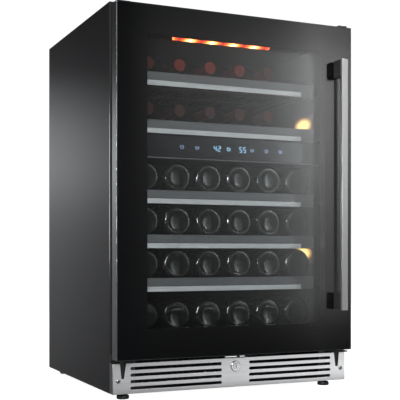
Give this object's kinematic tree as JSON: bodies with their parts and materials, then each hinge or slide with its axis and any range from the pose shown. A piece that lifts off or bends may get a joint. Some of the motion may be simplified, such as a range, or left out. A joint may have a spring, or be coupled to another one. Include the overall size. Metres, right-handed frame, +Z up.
{
  "type": "wine cooler",
  "caption": "Undercounter wine cooler with a left-hinged glass door, full-length bar handle, sliding shelves, two cooling zones and a slotted kick plate with a lock.",
  "frame": {"origin": "on the floor under the middle of the whole object, handle included", "axes": "+X to the right seen from the front, +Y to the back (the door faces -Y), +Z up"},
  "size_m": [0.595, 0.5986, 0.8759],
  "materials": {
    "black_paint": "satin black enamel with a slight orange peel",
    "galvanised": "dull galvanised sheet",
    "liner": "black moulded liner",
    "foam": "rigid polyurethane foam",
    "anodised": "dark anodised extrusion",
    "glass": "tinted glass with a black border",
    "gasket": "soft black seal",
    "stainless": "brushed stainless steel",
    "black_plastic": "black moulded plastic",
    "bright_trim": "bright brushed trim",
    "rail_grey": "grey anodised rail",
    "rack_black": "black coated wire",
    "lamp": "amber lamp cover",
    "fin_aluminium": "bare fins",
    "lock_steel": "plated steel"
  },
  "bodies": {
    "cabinet": {"base_plate": "galvanised", "bay_cover": "galvanised", "bottom_hinge_bracket": "black_paint", "bottom_rack": "rack_black", "ceiling_lamp": "lamp", "compressor": "black_paint", "condenser": "fin_aluminium", "control_panel": "glass", "duct_cover_lower": "liner", "duct_cover_upper": "liner", "evaporator_lower": "fin_aluminium", "evaporator_upper": "fin_aluminium", "inner_liner": "liner", "insulation_foam": "foam", "kick_plate": "stainless", "kick_screw_left": "lock_steel", "kick_screw_right": "lock_steel", "lock_barrel": "lock_steel", "power_inlet": "black_plastic", "rear_panel": "galvanised", "side_panel_left": "black_paint", "side_panel_right": "black_paint", "spare_hinge_bracket": "black_paint", "top_hinge_bracket": "black_paint", "top_panel": "black_paint", "wall_lamp_lower": "lamp", "wall_lamp_upper": "lamp", "zone_divider": "liner"},
    "door": {"outer_glass": "glass", "door_frame": "anodised", "inner_glass": "glass", "door_gasket": "gasket", "handle_bar": "stainless", "handle_post_lower": "black_plastic", "handle_post_upper": "black_plastic", "hinge_bush_lower": "black_plastic", "hinge_bush_upper": "black_plastic"},
    "shelf_1": {"shelf_rack_1": "rack_black", "shelf_rail_1": "rail_grey", "shelf_trim_1": "bright_trim"},
    "shelf_2": {"shelf_rack_2": "rack_black", "shelf_rail_2": "rail_grey", "shelf_trim_2": "bright_trim"},
    "shelf_3": {"shelf_rack_3": "rack_black", "shelf_rail_3": "rail_grey", "shelf_trim_3": "bright_trim"},
    "shelf_4": {"shelf_rack_4": "rack_black", "shelf_rail_4": "rail_grey", "shelf_trim_4": "bright_trim"},
    "shelf_5": {"shelf_rack_5": "rack_black", "shelf_rail_5": "rail_grey", "shelf_trim_5": "bright_trim"},
    "lock": {"lock_cylinder": "lock_steel"},
    "fan_upper_rotor": {"fan_upper": "black_plastic"},
    "fan_lower_rotor": {"fan_lower": "black_plastic"},
    "condenser_fan_rotor": {"condenser_fan": "black_plastic"},
    "foot_front_left_body": {"foot_front_left": "black_plastic"},
    "foot_front_right_body": {"foot_front_right": "black_plastic"},
    "foot_rear_left_body": {"foot_rear_left": "black_plastic"},
    "foot_rear_right_body": {"foot_rear_right": "black_plastic"}
  },
  "joints": [
    {"name": "door_hinge", "type": "hinge", "parent": "cabinet", "child": "door", "pos_m": [-0.2835, -0.23925, 0.0918], "axis": [0, 0, -1], "range_deg": [0, 105]},
    {"name": "shelf_1_slide", "type": "slide", "parent": "cabinet", "child": "shelf_1", "axis": [0, -1, 0], "range_m": [0, 0.04]},
    {"name": "shelf_2_slide", "type": "slide", "parent": "cabinet", "child": "shelf_2", "axis": [0, -1, 0], "range_m": [0, 0.04]},
    {"name": "shelf_3_slide", "type": "slide", "parent": "cabinet", "child": "shelf_3", "axis": [0, -1, 0], "range_m": [0, 0.04]},
    {"name": "shelf_4_slide", "type": "slide", "parent": "cabinet", "child": "shelf_4", "axis": [0, -1, 0], "range_m": [0, 0.04]},
    {"name": "shelf_5_slide", "type": "slide", "parent": "cabinet", "child": "shelf_5", "axis": [0, -1, 0], "range_m": [0, 0.04]},
    {"name": "lock_turn", "type": "hinge", "parent": "cabinet", "child": "lock", "pos_m": [0, -0.23275, 0.0637], "axis": [0, -1, 0], "range_deg": [0, 90]},
    {"name": "fan_upper_spin", "type": "hinge", "parent": "cabinet", "child": "fan_upper_rotor", "pos_m": [0, 0.21275, 0.7154], "axis": [0, 1, 0], "continuous": true},
    {"name": "fan_lower_spin", "type": "hinge", "parent": "cabinet", "child": "fan_lower_rotor", "pos_m": [0, 0.21275, 0.4134], "axis": [0, 1, 0], "continuous": true},
    {"name": "condenser_fan_spin", "type": "hinge", "parent": "cabinet", "child": "condenser_fan_rotor", "pos_m": [-0.125, -0.14025, 0.0584], "axis": [0, 1, 0], "continuous": true},
    {"name": "foot_front_left_level", "type": "slide", "parent": "cabinet", "child": "foot_front_left_body", "axis": [0, 0, -1], "range_m": [0, 0.015]},
    {"name": "foot_front_right_level", "type": "slide", "parent": "cabinet", "child": "foot_front_right_body", "axis": [0, 0, -1], "range_m": [0, 0.015]},
    {"name": "foot_rear_left_level", "type": "slide", "parent": "cabinet", "child": "foot_rear_left_body", "axis": [0, 0, -1], "range_m": [0, 0.015]},
    {"name": "foot_rear_right_level", "type": "slide", "parent": "cabinet", "child": "foot_rear_right_body", "axis": [0, 0, -1], "range_m": [0, 0.015]}
  ]
}
